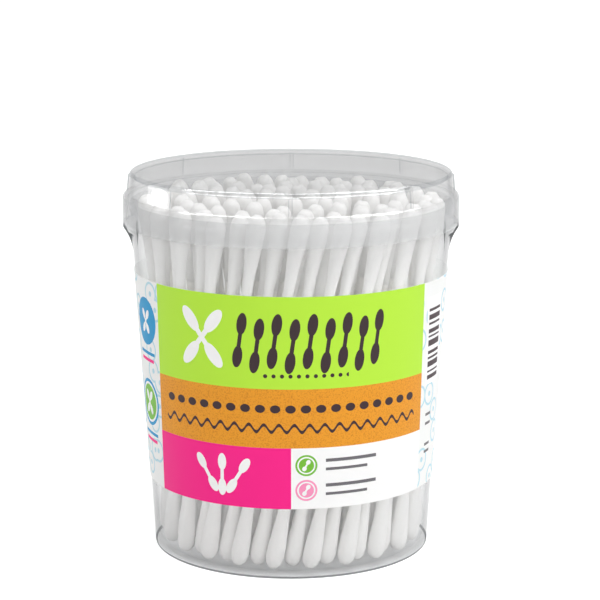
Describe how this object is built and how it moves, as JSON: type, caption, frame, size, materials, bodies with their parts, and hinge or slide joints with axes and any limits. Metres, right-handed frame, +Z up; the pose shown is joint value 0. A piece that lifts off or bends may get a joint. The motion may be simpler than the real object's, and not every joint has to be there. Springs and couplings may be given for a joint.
{
  "type": "cotton swab tub",
  "caption": "Clear round tapered tub packed with cotton swabs, with a hat-shaped lift-off lid and a wrap label in green, orange, pink and white.",
  "frame": {"origin": "centre of the base, on the surface that the tub stands on", "axes": "+Z up through the middle of the lid, -Y towards the front of the label, +X to the right as seen from the front"},
  "size_m": [0.071, 0.071, 0.0807],
  "materials": {
    "clear_tub": "clear, glossy",
    "clear_lid": "clear, glossy",
    "label_print": "printed, satin",
    "stick_paper": "matte",
    "cotton": "soft, fibrous"
  },
  "bodies": {
    "tub": {"tub": "clear_tub", "label": "label_print", "sticks_row_1": "stick_paper", "sticks_row_2": "stick_paper", "sticks_row_3": "stick_paper", "sticks_row_4": "stick_paper", "sticks_row_5": "stick_paper", "sticks_row_6": "stick_paper", "upper_heads_row_1": "cotton", "upper_heads_row_2": "cotton", "upper_heads_row_3": "cotton", "upper_heads_row_4": "cotton", "upper_heads_row_5": "cotton", "upper_heads_row_6": "cotton", "lower_heads_row_1": "cotton", "lower_heads_row_2": "cotton", "lower_heads_row_3": "cotton", "lower_heads_row_4": "cotton", "lower_heads_row_5": "cotton", "lower_heads_row_6": "cotton"},
    "lid": {"lid": "clear_lid"}
  },
  "joints": [
    {"name": "lid_lift", "type": "slide", "parent": "tub", "child": "lid", "axis": [0, 0, 1], "range_m": [0, 0.03]}
  ]
}
